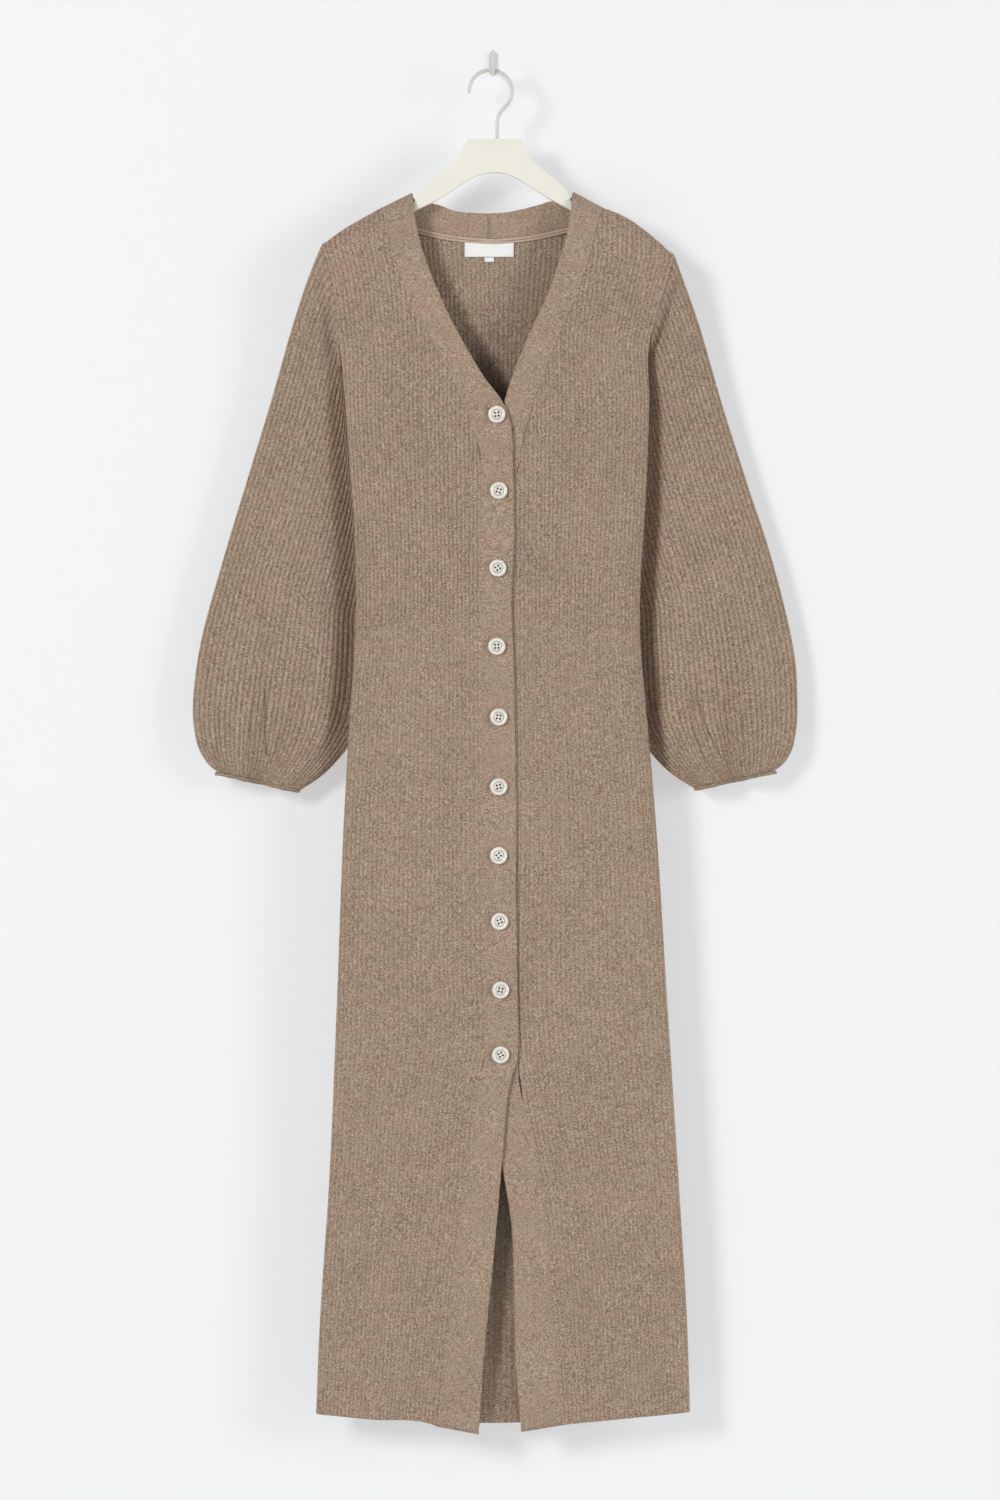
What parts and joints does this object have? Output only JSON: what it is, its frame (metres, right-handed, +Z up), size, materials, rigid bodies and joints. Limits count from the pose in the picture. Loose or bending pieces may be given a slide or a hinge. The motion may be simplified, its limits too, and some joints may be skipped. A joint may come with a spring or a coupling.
{
  "type": "knit button-down dress",
  "caption": "Long rib-knit dress with a V neck that buttons down the front, long sleeves and a flared skirt, on a painted wooden hanger held by a small wall hook",
  "frame": {"origin": "the middle of the wall hook's flat back, on the wall", "axes": "+Z up, +Y into the wall, +X to the viewer's right as the dress's front is seen"},
  "size_m": [0.6331, 0.0728, 1.4579],
  "materials": {
    "knit": "heathered taupe rib knit, matte and slightly fuzzy",
    "label_cloth": "white woven tape, bare",
    "button_shell": "pearly off-white",
    "painted_wood": "cream satin paint",
    "painted_wire": "white gloss paint"
  },
  "bodies": {
    "root": {"back_bodice": "knit", "back_skirt": "knit", "front_bodice_left": "knit", "front_bodice_right": "knit", "front_skirt_left": "knit", "front_skirt_right": "knit", "band_left": "knit", "band_right": "knit", "neck_band_left": "knit", "neck_band_right": "knit", "sleeve_left": "knit", "sleeve_right": "knit", "cuff_left": "knit", "cuff_right": "knit", "label": "label_cloth", "label_tab": "label_cloth", "button_01": "button_shell", "button_02": "button_shell", "button_03": "button_shell", "button_04": "button_shell", "button_05": "button_shell", "button_06": "button_shell", "button_07": "button_shell", "button_08": "button_shell", "button_09": "button_shell", "button_10": "button_shell", "hanger": "painted_wood", "hanger_hook": "painted_wire", "wall_hook": "painted_wire"}
  },
  "joints": []
}
